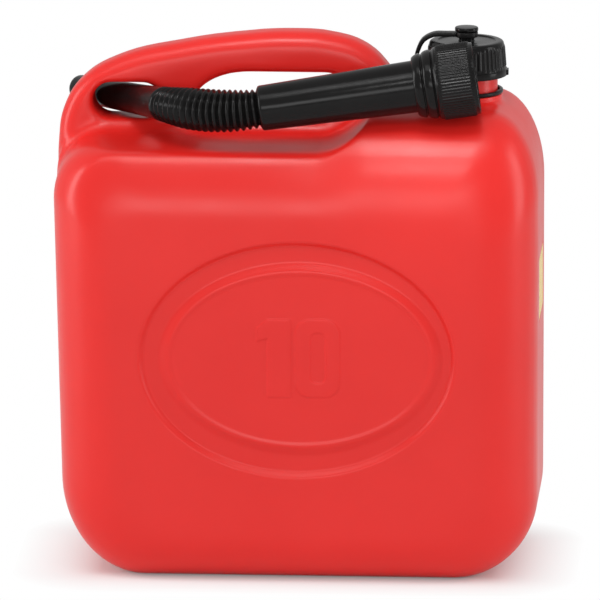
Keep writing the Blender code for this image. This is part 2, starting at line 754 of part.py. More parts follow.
def nut_closed_end():
    """Beside the cap, lying just clear of the tank's round front shoulder."""
    aside = CAP_FLANGE_RADIUS + NUT_OUTER_RADIUS + NUT_SIDE_CLEARANCE
    fall = rounding(SHOULDER_RADIUS, aside - NUT_REST_OFFSET - (HALF_DEPTH - SHOULDER_RADIUS))
    return Vector((NECK_X - NUT_BACK_STEP, -aside, SHOULDER_HEIGHT - fall + NUT_OUTER_RADIUS - NUT_SINK))


def axis_direction():
    """Along the straight tube, towards the nut's open end."""
    return (nut_closed_end() - bellows_start()).normalized()


def bellows_line(count):
    """Points at equal distances along the bellows' bend, from the tube to the nozzle."""
    start = bellows_start()
    end = bellows_end()
    lead = start - axis_direction() * BELLOWS_HANDLE_START
    trail = end - nozzle_direction() * BELLOWS_HANDLE_END
    fine = 400
    places = []
    for i in range(fine + 1):
        t = i / fine
        places.append(start * (1 - t) ** 3 + lead * 3 * t * (1 - t) ** 2
                      + trail * 3 * t * t * (1 - t) + end * t ** 3)
    lengths = [0.0]
    for near, far in zip(places, places[1:]):
        lengths.append(lengths[-1] + (far - near).length)
    evenly = []
    index = 0
    for k in range(count + 1):
        wanted = lengths[-1] * k / count
        while index < fine - 1 and lengths[index + 1] < wanted:
            index += 1
        part = (wanted - lengths[index]) / (lengths[index + 1] - lengths[index])
        evenly.append(places[index].lerp(places[index + 1], part))
    return evenly


def nut_point(along):
    """A point on the nut's axis, this far from its closed end."""
    return nut_closed_end() + axis_direction() * along


def spout_stations():
    """The spout's outside, from its flange to the nozzle's tip, as (point, radius)."""
    flange_back = NUT_SEAT_DEPTH + GAP
    stations = [
        (nut_point(flange_back + FLANGE_THICKNESS), FLANGE_RADIUS),
        (nut_point(flange_back), FLANGE_RADIUS),
        (nut_point(flange_back - FLANGE_ROOT), TUBE_RADIUS_AT_NUT),
        (bellows_start() + axis_direction() * 2 * TUBE_SHOULDER, TUBE_RADIUS_AT_BELLOWS),
        (bellows_start() + axis_direction() * TUBE_SHOULDER,
         (TUBE_RADIUS_AT_BELLOWS + RIB_CREST_RADIUS) / 2),
    ]
    line = bellows_line(2 * RIB_COUNT)
    for i, place in enumerate(line):
        tapered = max(i / 2 - (RIB_COUNT - RIB_TAPER_COUNT), 0.0) / RIB_TAPER_COUNT
        radius = RIB_CREST_RADIUS - RIB_TAPER * tapered
        if i % 2 == 0:
            radius -= RIB_DEPTH
        stations.append((place, radius))
    end = line[-1]
    along = nozzle_direction()
    stations += [
        (end + along * TUBE_SHOULDER, NOZZLE_ROOT_RADIUS),
        (end + along * NOZZLE_LENGTH / 2, (NOZZLE_ROOT_RADIUS + NOZZLE_TIP_RADIUS) / 2),
        (end + along * NOZZLE_LENGTH, NOZZLE_TIP_RADIUS),
    ]
    return stations


def spout_bore_stations():
    """The bore: a plainer tube that runs out past both ends."""
    mouth = NUT_SEAT_DEPTH + GAP + FLANGE_THICKNESS
    line = bellows_line(8)
    end = line[-1]
    along = nozzle_direction()
    bellows_bore = RIB_CREST_RADIUS - RIB_DEPTH - SPOUT_WALL
    narrow_bore = bellows_bore - RIB_TAPER
    stations = [
        (nut_point(mouth + OVERRUN), TUBE_RADIUS_AT_NUT - SPOUT_WALL),
        (nut_point(0.0), TUBE_RADIUS_AT_NUT - SPOUT_WALL),
        (bellows_start() + axis_direction() * 2 * TUBE_SHOULDER, bellows_bore),
    ]
    for i, place in enumerate(line):
        tapered = max(i / 8 - 1 + RIB_TAPER_COUNT / RIB_COUNT, 0.0) * RIB_COUNT / RIB_TAPER_COUNT
        stations.append((place, bellows_bore + (narrow_bore - bellows_bore) * tapered))
    stations += [
        (end + along * 2 * TUBE_SHOULDER, narrow_bore),
        (end + along * (NOZZLE_LENGTH + OVERRUN), NOZZLE_TIP_RADIUS - SPOUT_WALL),
    ]
    return stations


def spout_tube():
    spout = tube_curve("spout_tube", spout_stations(), PARTS)
    bore = tube_curve("spout_bore", spout_bore_stations(), CUTTERS)
    boolean(spout, bore, 'DIFFERENCE')
    finish(spout, BLACK, 50.0)
    return spout


def nut_matrix():
    """Local +Z runs along the nut's axis from its closed end to its open end."""
    turn = Vector((0.0, 0.0, 1.0)).rotation_difference(axis_direction()).to_matrix().to_4x4()
    return Matrix.Translation(nut_closed_end()) @ turn


def spout_nut():
    shoulder = [
        (NUT_RADIUS * radius, NUT_SHOULDER_LENGTH * along) for along, radius in NUT_PROFILE_SHARES
    ]
    neck_radius = TUBE_RADIUS_AT_NUT + RUNNING_GAP
    profile = [(NUT_RADIUS, NUT_LENGTH)] + shoulder + [
        (neck_radius, 0.0),
        (neck_radius, NUT_SEAT_DEPTH),
        (NUT_MOUTH_RADIUS, NUT_SEAT_DEPTH),
        (NUT_MOUTH_RADIUS, NUT_LENGTH),
    ]
    nut = turned("spout_nut", profile, PARTS, nut_matrix())
    band_start = NUT_SHOULDER_LENGTH + NUT_BAND_MARGIN
    band_end = NUT_LENGTH - NUT_BAND_MARGIN
    matrix = nut_matrix() @ Matrix.Translation((0.0, 0.0, (band_start + band_end) / 2))
    inner_radius = (NUT_RADIUS + NUT_MOUTH_RADIUS) / 2
    band = ribbed_band("nut_ribs", NUT_RADIUS + GAP, NUT_RIB_HEIGHT, NUT_RIB_COUNT, inner_radius,
                       band_end - band_start, matrix)
    boolean(nut, band, 'UNION')
    finish(nut, BLACK)
    return nut


def spout_gasket():
    bottom = NUT_SEAT_DEPTH + FLANGE_THICKNESS + 2 * GAP
    outer_radius = NUT_MOUTH_RADIUS - RUNNING_GAP
    profile = washer_profile(outer_radius, outer_radius - GASKET_RIM, bottom, GASKET_THICKNESS)
    gasket = turned("spout_gasket", profile, PARTS, nut_matrix())
    finish(gasket, SEAL)
    return gasket


can_body()
side_label()
neck_cap()
cap_gasket()
tether_band()
tether_eye()
spout_tube()
spout_nut()
spout_gasket()
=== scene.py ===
import math

import bmesh
import bpy
import numpy as np
from mathutils import Matrix, Vector

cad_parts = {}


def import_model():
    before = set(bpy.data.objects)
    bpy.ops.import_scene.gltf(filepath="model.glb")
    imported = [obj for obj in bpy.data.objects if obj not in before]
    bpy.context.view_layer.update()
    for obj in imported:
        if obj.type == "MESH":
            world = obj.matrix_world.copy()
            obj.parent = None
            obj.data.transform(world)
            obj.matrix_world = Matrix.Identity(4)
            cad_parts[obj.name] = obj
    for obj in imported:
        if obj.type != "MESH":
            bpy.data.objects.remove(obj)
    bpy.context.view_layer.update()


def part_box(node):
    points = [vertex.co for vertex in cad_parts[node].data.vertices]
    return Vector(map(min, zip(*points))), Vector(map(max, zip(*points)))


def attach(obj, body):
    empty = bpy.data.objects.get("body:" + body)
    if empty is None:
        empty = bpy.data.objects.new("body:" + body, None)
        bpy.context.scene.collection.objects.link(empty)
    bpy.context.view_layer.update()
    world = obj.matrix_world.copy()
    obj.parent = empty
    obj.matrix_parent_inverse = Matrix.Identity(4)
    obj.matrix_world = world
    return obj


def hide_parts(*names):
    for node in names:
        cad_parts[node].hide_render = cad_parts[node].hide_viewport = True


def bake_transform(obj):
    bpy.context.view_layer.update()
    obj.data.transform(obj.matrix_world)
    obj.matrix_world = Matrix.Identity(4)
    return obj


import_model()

MM = 0.001

# Sizes in metres. The shoulder's fall, ledge lip, collar, cap, ring, strap and nozzle slot differ
# a little from the CAD.
WIDTH, DEPTH, SHOULDER = 0.298, 0.160, 0.290
HALF_W, HALF_D = WIDTH / 2, DEPTH / 2
SIDE_R, FLOOR_R, SHOULDER_R = 0.040, 0.030, 0.046
SHOULDER_FALL = 1.43
SHOULDER_ANGLES = (90, 88, 86, 84, 82, 80, 78, 75.5, 73, 70, 67, 64, 61, 58, 54, 49, 44, 38, 32, 24,
                   16, 8, 0)
WEB = 0.015
LEAN = 0.0045

# Spout ledge with its lip, and the sweep that climbs from it to the neck's shoulder
LEDGE, LEDGE_FALL, LEDGE_BLEND = 0.2708, 0.062, 0.0018
LIP_R, LIP_REACH, LIP_ANGLES = 0.008, 0.0078, (0, 25, 45, 65, 90)
SWEEP_X, SWEEP_RUN, SWEEP_POWER = 0.0120, 0.0324, 2.0
SWEEP_FOOT, SWEEP_RISE, SWEEP_STEPS = 0.0020, 0.0192, 28

# Corners of the outline (across, up), and the share of the side's inset that each one loses
LOW_LEFT, LOW_LEFT_LOSS = (0.051, 0.061), (0.6, 0.7)
LOW_RIGHT, LOW_RIGHT_LOSS = (0.050, 0.050), (0.6, 0.6)
NECK_CORNER, NECK_CORNER_LOSS, NECK_CORNER_DROP = (0.031, 0.054), 0.2, 0.48
LEDGE_CORNER = (0.030, 0.035)
CORNER_STEPS = 22

# Handle plate: its curve in shares of its length and height
HANDLE_LEFT, HANDLE_LENGTH = -0.1486, 0.229
HANDLE_FOOT, HANDLE_TOP = 0.236, 0.3323
HANDLE_EDGE = 0.011
HANDLE_CURVE = ((0, 0.27), (0.015, 0.49), (0.066, 0.68), (0.158, 0.815), (0.343, 0.926),
                (0.498, 0.980), (0.628, 1.0), (0.737, 0.983), (0.826, 0.915), (0.886, 0.786),
                (0.917, 0.658), (0.947, 0.560))
HANDLE_FEET = ((1, 0.49), (1, 0.20), (0, 0))

# Forms pressed into the skin. Each oval has a centre and half axes, in x and z
CHANNEL_OUTER = ((0.0025, 0.1417), (0.0978, 0.0744))
CHANNEL_INNER = ((0.0049, 0.1420), (0.0808, 0.0542))
CHANNEL_DEPTH, CHANNEL_OUTER_RUN, CHANNEL_INNER_RUN = 2.8 * MM, 4.2 * MM, 7.0 * MM
PLATE_RISE, PLATE_RUN, DIGITS_GROW, DIGITS_RUN = 0.62 * MM, 2.6 * MM, 0.5 * MM, 1.3 * MM
RECESS_CENTRE, RECESS_HALF = (-0.002, 0.176), (0.0284, 0.0194)
RECESS_DEPTH, RECESS_RUN = 0.9 * MM, 1.2 * MM
# The shoulders' fold, front and back: where it starts along each axis and the run that it takes
FOLD_DEPTH, FOLD_X, FOLD_Y, FOLD_Z = 3.0 * MM, (0.012, 0.034), (0.045, 0.02), (0.228, 0.044)
DIGITS_X, DIGITS_Z = (-0.026, 0.034), (0.114, 0.171)

# Neck, cap and eyelet
NECK_X, NECK_R, NECK_BORE, NECK_TOP = 0.1025, 0.0202, 0.0174, 0.3215
COLLAR_R, COLLAR_LOW, COLLAR_TOP = 0.0222, 0.2890, 0.2942
THREAD_PITCH, FIT_GAP, SEAT_GAP = 0.0050, 0.0006, 0.0003
CAP_BOTTOM, CAP_TOP, CAP_INNER_TOP = 0.3055, 0.3269, 0.3241
EYE_BOTTOM, EYE_T, EYE_R, EYE_BORE, EYE_EDGE = 0.3289, 0.0034, 0.0070, 0.0051, 0.0007
AXIS = Vector((NECK_X, 0.0, 0.0))
UPRIGHT = Matrix.Translation(AXIS)

# Spout line, from the nozzle's crossing of the slot back to the nut's open end
NOZZLE_TURN, NOZZLE_FALL = math.radians(55), -0.072
NOZZLE_DIR = Vector((-math.cos(NOZZLE_TURN), math.sin(NOZZLE_TURN), NOZZLE_FALL)).normalized()
NOZZLE_LENGTH, NOZZLE_TO_SLOT = 0.1045, 0.0477
SLOT_MIDDLE, SLOT_SHIFT = Vector((-0.106, 0.0, 0.2885)), Vector((-0.000704, 0, 0))
BELLOWS_END = SLOT_MIDDLE + SLOT_SHIFT - NOZZLE_DIR * NOZZLE_TO_SLOT
BELLOWS_START = BELLOWS_END + Vector((0.0571, -0.0209, 0.0024))
NUT_END = Vector((0.0735, -0.0551, 0.3083905))
SPOUT_DIR = (NUT_END - BELLOWS_START).normalized()
NUT_SEAT, FLANGE_T, TUBE_ROOT_R = 0.0148, 0.0025, 0.0163

# Seals: outer and inner radius, thickness and rounded edge
CAP_SEAL_R, SPOUT_SEAL_R = (0.0205, 0.0160), (0.0202, 0.0157)
SEAL_T, SEAL_EDGE = 0.0020, 0.0004


# Small helpers

def link(name, data):
    item = bpy.data.objects.new(name, data)
    bpy.context.scene.collection.objects.link(item)
    return item


def make(name, verts, faces, sharp=40.0):
    """An object from points and faces, smooth except at edges beyond the angle, in degrees."""
    mesh = bpy.data.meshes.new(name)
    mesh.from_pydata([tuple(v) for v in verts], [], faces)
    work = bmesh.new()
    work.from_mesh(mesh)
    bmesh.ops.recalc_face_normals(work, faces=work.faces)
    work.to_mesh(mesh)
    work.free()
    mesh.shade_smooth()
    mesh.set_sharp_from_angle(angle=math.radians(sharp))
    return link(name, mesh)


def baked(item):
    """The evaluated mesh of an object, and the object removed."""
    bpy.context.view_layer.update()
    graph = bpy.context.evaluated_depsgraph_get()
    mesh = bpy.data.meshes.new_from_object(item.evaluated_get(graph))
    mesh.transform(item.matrix_world)
    bpy.data.objects.remove(item)
    return mesh


def join_meshes(name, parts, sharp=40.0):
    """One object out of several (verts, faces) parts."""
    verts, faces = [], []
    for part_verts, part_faces in parts:
        start = len(verts)
        verts += [tuple(v) for v in part_verts]
        faces += [tuple(i + start for i in face) for face in part_faces]
    return make(name, verts, faces, sharp)


def moved(part, matrix):
    """A (verts, faces) part put in its place."""
    verts, faces = part
    return [matrix @ v for v in verts], faces


def fillet(rows, steps=4, closed=False):
    """Round the corners of a profile of (across, up, reach) rows, each by its own reach."""
    most = 0.48
    spots = [Vector(row[:2]) for row in rows]
    count = len(spots)
    out = []
    for i, here in enumerate(spots):
        reach = rows[i][2]
        inner = closed or 0 < i < count - 1
        if reach <= 0 or not inner:
            out.append(here)
            continue
        before = spots[i - 1] - here
        after = spots[(i + 1) % count] - here
        span = min(reach, before.length * most, after.length * most)
        start = here + before.normalized() * span
        end = here + after.normalized() * span
        for k in range(steps + 1):
            t = k / steps
            out.append(start * (1 - t) ** 2 + here * 2 * t * (1 - t) + end * t * t)
    return [(p.x, p.y) for p in out]


def polar(radius, angle, height):
    return Vector((radius * math.cos(angle), radius * math.sin(angle), height))


def revolve(profile, count, closed=True, radius_at=None):
    """Turn (radius, height) points about Z. radius_at(radius, height, angle) may shape ribs."""
    on_axis = 1e-9
    verts, rows = [], []
    for radius, height in profile:
        if radius <= on_axis:
            rows.append([len(verts)])
            verts.append(Vector((0, 0, height)))
            continue
        row = []
        for k in range(count):
            angle = math.tau * k / count
            r = radius_at(radius, height, angle) if radius_at else radius
            row.append(len(verts))
            verts.append(polar(r, angle, height))
        rows.append(row)
    pairs = list(zip(rows, rows[1:]))
    if closed:
        pairs.append((rows[-1], rows[0]))
    faces = []
    for near, far in pairs:
        if len(near) == 1 and len(far) == 1:
            continue
        for k in range(count):
            j = (k + 1) % count
            if len(near) == 1:
                faces.append((near[0], far[k], far[j]))
            elif len(far) == 1:
                faces.append((near[k], near[j], far[0]))
            else:
                faces.append((near[k], near[j], far[j], far[k]))
    return verts, faces


def ring_faces(rings, sides, closed=False):
    """Quads between neighbouring rings of points, and where closed from the last to the first."""
    faces = []
    for i in range(rings if closed else rings - 1):
        near, far = i * sides, (i + 1) % rings * sides
        for k in range(sides):
            j = (k + 1) % sides
            faces.append((near + k, near + j, far + j, far + k))
    return faces


def helix(radius, depth, turns, start, width, inward=False):
    """A thread: a low trapezium swept along a helix, fading in and out at its ends."""
    steps, sink, least = 48, 0.3 * MM, 0.02
    fade_steps, half_crest = steps * 0.2, width * 0.18
    sign = -1.0 if inward else 1.0
    total = int(turns * steps)
    verts = []
    for i in range(total + 1):
        angle = math.tau * i / steps
        fade = min(1.0, i / fade_steps, (total - i) / fade_steps)
        height = start + THREAD_PITCH * i / steps
        rim = radius + sign * depth * max(fade, least)
        root = radius - sign * sink
        verts += [polar(root, angle, height - width / 2), polar(rim, angle, height - half_crest),
                  polar(rim, angle, height + half_crest), polar(root, angle, height + width / 2)]
    last = 4 * total
    caps = [(0, 1, 2, 3), (last + 3, last + 2, last + 1, last)]
    return verts, ring_faces(total + 1, 4) + caps


def inner_thread(bore, turns, start):
    """The thread inside the cap or the nut."""
    return helix(bore, depth=0.0005, turns=turns, start=start, width=0.0022, inward=True)


def sweep(stations, sides):
    """A closed skin through (point, radius, direction) stations, each ring square to its line."""
    verts = []
    side = stations[0][2].cross(Vector((0, 0, 1))).normalized()
    for point, radius, direction in stations:
        side = (side - direction * side.dot(direction)).normalized()
        up = side.cross(direction)
        for k in range(sides):
            angle = math.tau * k / sides
            verts.append(point + side * radius * math.cos(angle) + up * radius * math.sin(angle))
    return verts, ring_faces(len(stations), sides, closed=True)


def spline(points, per_span):
    """A smooth line through points of any dimension."""
    pts = [Vector(p) for p in points]
    out = []
    for i in range(len(pts) - 1):
        a, b, c, d = pts[max(i - 1, 0)], pts[i], pts[i + 1], pts[min(i + 2, len(pts) - 1)]
        for k in range(per_span):
            t = k / per_span
            out.append(0.5 * ((2 * b) + (c - a) * t + (2 * a - 5 * b + 4 * c - d) * t * t
                              + (3 * b - a - 3 * c + d) * t ** 3))
    out.append(pts[-1])
    return out


def between(value, low, high, run):
    """1 between two limits and 0 outside them, with a ramp of the given run inside each."""
    return min(max((value - low) / run, 0.0), max((high - value) / run, 0.0), 1.0)


def wave(angle):
    """From 1 down to 0 and back over a full turn."""
    return 0.5 + 0.5 * math.cos(angle)


# Materials

class Nodes:
    """A short way to write a node material."""

    def __init__(self, name):
        self.material = bpy.data.materials.new(name)
        self.material.use_nodes = True
        self.tree = self.material.node_tree
        self.shader = self.tree.nodes["Principled BSDF"]
        self.coords = self.add('ShaderNodeTexCoord')

    def add(self, kind, **settings):
        node = self.tree.nodes.new(kind)
        for key, value in settings.items():
            setattr(node, key, value)
        return node

    def join(self, source, target):
        self.tree.links.new(source, target)

    def noise(self, scale, detail, roughness):
        node = self.add('ShaderNodeTexNoise')
        node.inputs["Scale"].default_value = scale
        node.inputs["Detail"].default_value = detail
        node.inputs["Roughness"].default_value = roughness
        self.join(self.coords.outputs["Object"], node.inputs["Vector"])
        return node.outputs["Fac"]

    def ramp(self, source, low, high, start=0.3, end=0.7):
        node = self.add('ShaderNodeMapRange')
        node.inputs["From Min"].default_value = start
        node.inputs["From Max"].default_value = end
        node.inputs["To Min"].default_value = low
        node.inputs["To Max"].default_value = high
        self.join(source, node.inputs["Value"])
        return node.outputs["Result"]

    def colours(self, source, stops):
        node = self.add('ShaderNodeValToRGB')
        ramp = node.color_ramp
        ramp.elements[0].position = stops[0][0]
        ramp.elements[0].color = (*stops[0][1], 1.0)
        ramp.elements[1].position = stops[-1][0]
        ramp.elements[1].color = (*stops[-1][1], 1.0)
        for place, colour in stops[1:-1]:
            ramp.elements.new(place).color = (*colour, 1.0)
        self.join(source, node.inputs["Fac"])
        return node.outputs["Color"]

    def math(self, operation, a, b=None):
        node = self.add('ShaderNodeMath', operation=operation)
        for index, value in enumerate((a, b)):
            if value is None:
                continue
            if isinstance(value, (int, float)):
                node.inputs[index].default_value = value
            else:
                self.join(value, node.inputs[index])
        return node.outputs["Value"]

    def total(self, first, *rest):
        """The sum of (source, weight) pairs."""
        result = self.math('MULTIPLY', *first)
        for source, weight in rest:
            result = self.math('ADD', result, self.math('MULTIPLY', source, weight))
        return result

    def surface(self, colour_noise, stops, rough_noise, rough_low, rough_high):
        """Base colour from one noise and roughness from another."""
        self.join(self.colours(colour_noise, stops), self.shader.inputs["Base Color"])
        self.join(self.ramp(rough_noise, rough_low, rough_high), self.shader.inputs["Roughness"])

    def shine(self, level):
        self.shader.inputs["IOR"].default_value = 1.5
        self.shader.inputs["Specular IOR Level"].default_value = level

    def bump(self, height, strength, distance):
        node = self.add('ShaderNodeBump')
        node.inputs["Strength"].default_value = strength
        node.inputs["Distance"].default_value = distance
        self.join(height, node.inputs["Height"])
        self.join(node.outputs["Normal"], self.shader.inputs["Normal"])


def red_plastic():
    """Blow-moulded polyethylene, a little wavy and grained, with a fine seam round its middle."""
    n = Nodes("red_polyethylene")
    reds = ((0.25, (0.700, 0.015, 0.012)), (0.5, (0.730, 0.018, 0.014)),
            (0.8, (0.765, 0.021, 0.017)))
    n.surface(n.noise(9.0, 4.0, 0.55), reds, n.noise(26.0, 5.0, 0.6), 0.28, 0.35)
    n.shine(0.38)
    n.shader.inputs["Subsurface Weight"].default_value = 0.06
    n.shader.inputs["Subsurface Radius"].default_value = (0.004, 0.0008, 0.0006)
    n.shader.inputs["Subsurface Scale"].default_value = 1.0
    split = n.add('ShaderNodeSeparateXYZ')
    n.join(n.coords.outputs["Object"], split.inputs["Vector"])
    seam = n.ramp(n.math('ABSOLUTE', split.outputs["Y"]), 1.0, 0.0, 0.0002, 0.0007)
    waves, grain = n.noise(38.0, 2.0, 0.5), n.noise(900.0, 2.0, 0.6)
    n.bump(n.total((waves, 0.5), (grain, 0.035), (seam, 0.35)), 0.35, 0.0009)
    return n.material


def black_plastic(name, low, high, rough_low, rough_high):
    n = Nodes(name)
    n.surface(n.noise(30.0, 4.0, 0.55), ((0.25, low), (0.75, high)),
              n.noise(60.0, 4.0, 0.6), rough_low, rough_high)
    n.shine(0.17)
    waves, grain = n.noise(120.0, 2.0, 0.5), n.noise(1400.0, 2.0, 0.6)
    n.bump(n.total((waves, 0.6), (grain, 0.1)), 0.25, 0.0004)
    return n.material


def rubber():
    n = Nodes("seal_rubber_matt")
    greys = ((0.3, (0.040, 0.040, 0.042)), (0.7, (0.060, 0.060, 0.060)))
    n.surface(n.noise(70.0, 3.0, 0.6), greys, n.noise(90.0, 3.0, 0.5), 0.66, 0.8)
    n.bump(n.noise(700.0, 3.0, 0.6), 0.3, 0.0002)
    return n.material


def film():
    n = Nodes("label_film_bare")
    yellows = ((0.3, (0.84, 0.56, 0.075)), (0.7, (0.87, 0.60, 0.090)))
    n.surface(n.noise(14.0, 3.0, 0.5), yellows, n.noise(40.0, 2.0, 0.5), 0.22, 0.30)
    n.bump(n.noise(60.0, 2.0, 0.5), 0.1, 0.0002)
    return n.material


RED = red_plastic()
BLACK = black_plastic("black_polyethylene", (0.004, 0.0038, 0.0038), (0.007, 0.0065, 0.0065),
                      0.14, 0.20)
STRAP = black_plastic("tether_polyethylene", (0.006, 0.0055, 0.0055), (0.009, 0.0085, 0.0085),
                      0.28, 0.38)
RUBBER = rubber()
FILM = film()


def dress(item, material, slot, body, *nodes):
    """Give a piece its material, the body that it rides on and the nodes it stands for. The slot
    argument is not used.
    """
    item.data.materials.clear()
    item.data.materials.append(material)
    if body:
        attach(item, body)
    if nodes:
        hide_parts(*nodes)


# Can: the tank, its handle and the two holes, melted together and softened as a blow moulding is

def rounding(radius, beyond):
    """How far a round edge has fallen at a distance beyond its start."""
    reach = min(max(beyond, 0.0), radius)
    return radius - math.sqrt(max(radius * radius - reach * reach, 0.0))


def corner(centre, radii, start, steps):
    """Points of a quarter ellipse, from start in quarter turns."""
    points = []
    for i in range(steps + 1):
        angle = (start + i / steps) * math.pi / 2
        points.append((centre[0] + radii[0] * math.cos(angle),
                       centre[1] + radii[1] * math.sin(angle)))
    return points


def box_outline(left, right, bottom, top, corners, steps, top_edge=(), lean=0.0):
    """A box with round corners, in (x, z). top_edge may lower the left part of its top."""
    low_right, high_right, high_left, low_left = corners
    outline = corner((right - low_right[0], bottom + low_right[1]), low_right, -1, steps)
    outline += corner((right - high_right[0], top - high_right[1]), high_right, 0, steps)
    outline += list(top_edge)
    left_top = top_edge[-1][1] if top_edge else top
    outline += corner((left + high_left[0], left_top - high_left[1]), high_left, 1, steps)
    outline += corner((left + lean + low_left[0], bottom + low_left[1]), low_left, 2, steps)
    return outline


def tank_outline(depth):
    """The tank's outline at a distance from its middle plane."""
    side_inset = rounding(SIDE_R, depth - (HALF_D - SIDE_R))
    side = HALF_W - side_inset
    bottom = rounding(FLOOR_R, depth - (HALF_D - FLOOR_R))
    top_inset = rounding(SHOULDER_R, depth - (HALF_D - SHOULDER_R)) * SHOULDER_FALL
    top = SHOULDER - top_inset
    ledge = LEDGE - LEDGE_FALL * max(depth - WEB, 0.0) + rounding(LIP_R, WEB + LIP_REACH - depth)
    left_top = (top + ledge) / 2 - math.hypot((top - ledge) / 2, LEDGE_BLEND)
    climb = top - left_top
    reach = SWEEP_FOOT + SWEEP_RUN * (climb / SWEEP_RISE) ** (1 / SWEEP_POWER)
    edge = []
    for k in range(SWEEP_STEPS, -1, -1):
        share = k / SWEEP_STEPS
        edge.append((SWEEP_X + reach * share, left_top + share ** SWEEP_POWER * climb))
    low_left = tuple(r - loss * side_inset for r, loss in zip(LOW_LEFT, LOW_LEFT_LOSS))
    low_right = tuple(r - loss * side_inset for r, loss in zip(LOW_RIGHT, LOW_RIGHT_LOSS))
    neck_corner = (NECK_CORNER[0] - NECK_CORNER_LOSS * side_inset,
                   NECK_CORNER[1] - NECK_CORNER_DROP * top_inset / SHOULDER_FALL)
    return box_outline(-side, side, bottom, top, (low_right, neck_corner, LEDGE_CORNER, low_left),
                       CORNER_STEPS, edge, LEAN)


def loft(name, rings):
    """A closed skin through rings of as many points each."""
    work = bmesh.new()
    rows = [[work.verts.new(point) for point in ring] for ring in rings]
    count = len(rows[0])
    for near, far in zip(rows, rows[1:]):
        for i in range(count):
            j = (i + 1) % count
            work.faces.new((near[i], near[j], far[j], far[i]))
    work.faces.new(rows[0])
    work.faces.new(rows[-1])
    bmesh.ops.triangulate(work, faces=work.faces)
    bmesh.ops.recalc_face_normals(work, faces=work.faces)
    mesh = bpy.data.meshes.new(name)
    work.to_mesh(mesh)
    work.free()
    return link(name, mesh)


def mirrored(levels, outline_at):
    """Rings from the front level to the same level at the back."""
    front = [[Vector((x, -depth, z)) for x, z in outline_at(depth)] for depth in levels]
    back = [[Vector((p.x, -p.y, p.z)) for p in ring] for ring in reversed(front)]
    return front + back


def handle_plate():
    """The handle's upright plate with round edges, from its curve down into the tank."""
    data = bpy.data.curves.new("handle_plate", 'CURVE')
    data.dimensions = '2D'
    data.fill_mode = 'BOTH'
    data.resolution_u = 14
    data.extrude = WEB - HANDLE_EDGE
    data.bevel_depth = HANDLE_EDGE
    data.bevel_resolution = 6
    data.offset = -HANDLE_EDGE
    line = data.splines.new('BEZIER')
    shares = HANDLE_CURVE + HANDLE_FEET
    line.bezier_points.add(len(shares) - 1)
    for i, (point, (along, up)) in enumerate(zip(line.bezier_points, shares)):
        kind = 'AUTO' if i < len(HANDLE_CURVE) else 'VECTOR'
        point.co = (HANDLE_LEFT + along * HANDLE_LENGTH,
                    HANDLE_FOOT + up * (HANDLE_TOP - HANDLE_FOOT), 0)
        point.handle_left_type = kind
        point.handle_right_type = kind
    line.use_cyclic_u = True
    item = link("handle_plate", data)
    item.matrix_world = Matrix.Rotation(math.pi / 2, 4, 'X')
    mesh = baked(item)
    work = bmesh.new()
    work.from_mesh(mesh)
    bmesh.ops.remove_doubles(work, verts=work.verts, dist=1e-6)
    bmesh.ops.triangulate(work, faces=work.faces)
    bmesh.ops.recalc_face_normals(work, faces=work.faces)
    work.to_mesh(mesh)
    work.free()
    return link("handle_plate", mesh)


def hole(name, left, length, bottom, height, shares):
    """A cutter for a hole through the web, its rims rounded, its corners in shares of its size."""
    edge, proud, beyond, within, steps = 0.0045, 0.0002, 0.012, 0.004, 10
    start = WEB + proud - edge
    turns = [start + edge * math.sin(math.radians(a)) for a in range(0, 91, 18)]
    levels = [WEB + beyond] + turns[::-1] + [start - within]

    def outline_at(depth):
        flare = rounding(edge, depth - start)
        corners = [(length * run + flare, height * rise + flare) for run, rise in shares]
        return box_outline(left - flare, left + length + flare, bottom - flare,
                           bottom + height + flare, corners, steps)

    return loft(name, mirrored(levels, outline_at))


def cylinder(name, radius, low, high):
    """A closed cylinder on the neck's axis."""
    profile = [(0.0, high), (radius, high), (radius, low), (0.0, low)]
    verts, faces = revolve(profile, 96, closed=False)
    return make(name, [v + AXIS for v in verts], faces)


def raised_digits(x, z):
    """How far inside the numeral 10 each point lies, in metres, negative outside."""
    def block(*sizes):
        """Depth inside a round-cornered block: left, right, bottom, top and radius in mm."""
        left, right, bottom, top, radius = (size * MM for size in sizes)
        cx, cz = (left + right) / 2, (bottom + top) / 2
        qx = np.abs(x - cx) - (right - left) / 2 + radius
        qz = np.abs(z - cz) - (top - bottom) / 2 + radius
        outside = np.hypot(np.maximum(qx, 0), np.maximum(qz, 0))
        return radius - outside - np.minimum(np.maximum(qx, qz), 0)

    bar_left, flag_left, flag_foot, head = -15.4, -22.0, 153, 167
    foot_slope, head_slope = 0.25, 0.8
    bar = block(bar_left, -0.6, 118, head, 1.2)
    below = (z - flag_foot * MM) - (x - flag_left * MM) * foot_slope
    above = (head * MM - z) - np.maximum(bar_left * MM - x, 0) * head_slope
    flag = np.minimum(block(flag_left, -12, 148, head, 1.0), np.minimum(below, above))
    ring = np.minimum(block(1.4, 29.4, 118.3, 167.3, 9.5), -block(11.2, 20.2, 127.5, 158.5, 3.6))
    return np.maximum(np.maximum(bar, flag), ring)


def smooth_step(value, width):
    t = np.clip(value / width, 0.0, 1.0)
    return t * t * (3 - 2 * t)


def oval_share(x, z, oval, grow=0.0):
    """1 on an oval's line, less inside it and more outside."""
    centre, axes = oval
    return np.hypot((x - centre[0]) / (axes[0] + grow), (z - centre[1]) / (axes[1] + grow))


def oval_inside(x, z, oval):
    """Distance inside an oval, measured along the line from its centre."""
    share = np.maximum(oval_share(x, z, oval), 1e-6)
    return (1 / share - 1) * np.hypot(x - oval[0][0], z - oval[0][1])


def recess_inside(y, z):
    """How far inside the label's recess a point of the right side lies."""
    return np.minimum(RECESS_HALF[0] - np.abs(y - RECESS_CENTRE[0]),
                      RECESS_HALF[1] - np.abs(z - RECESS_CENTRE[1]))


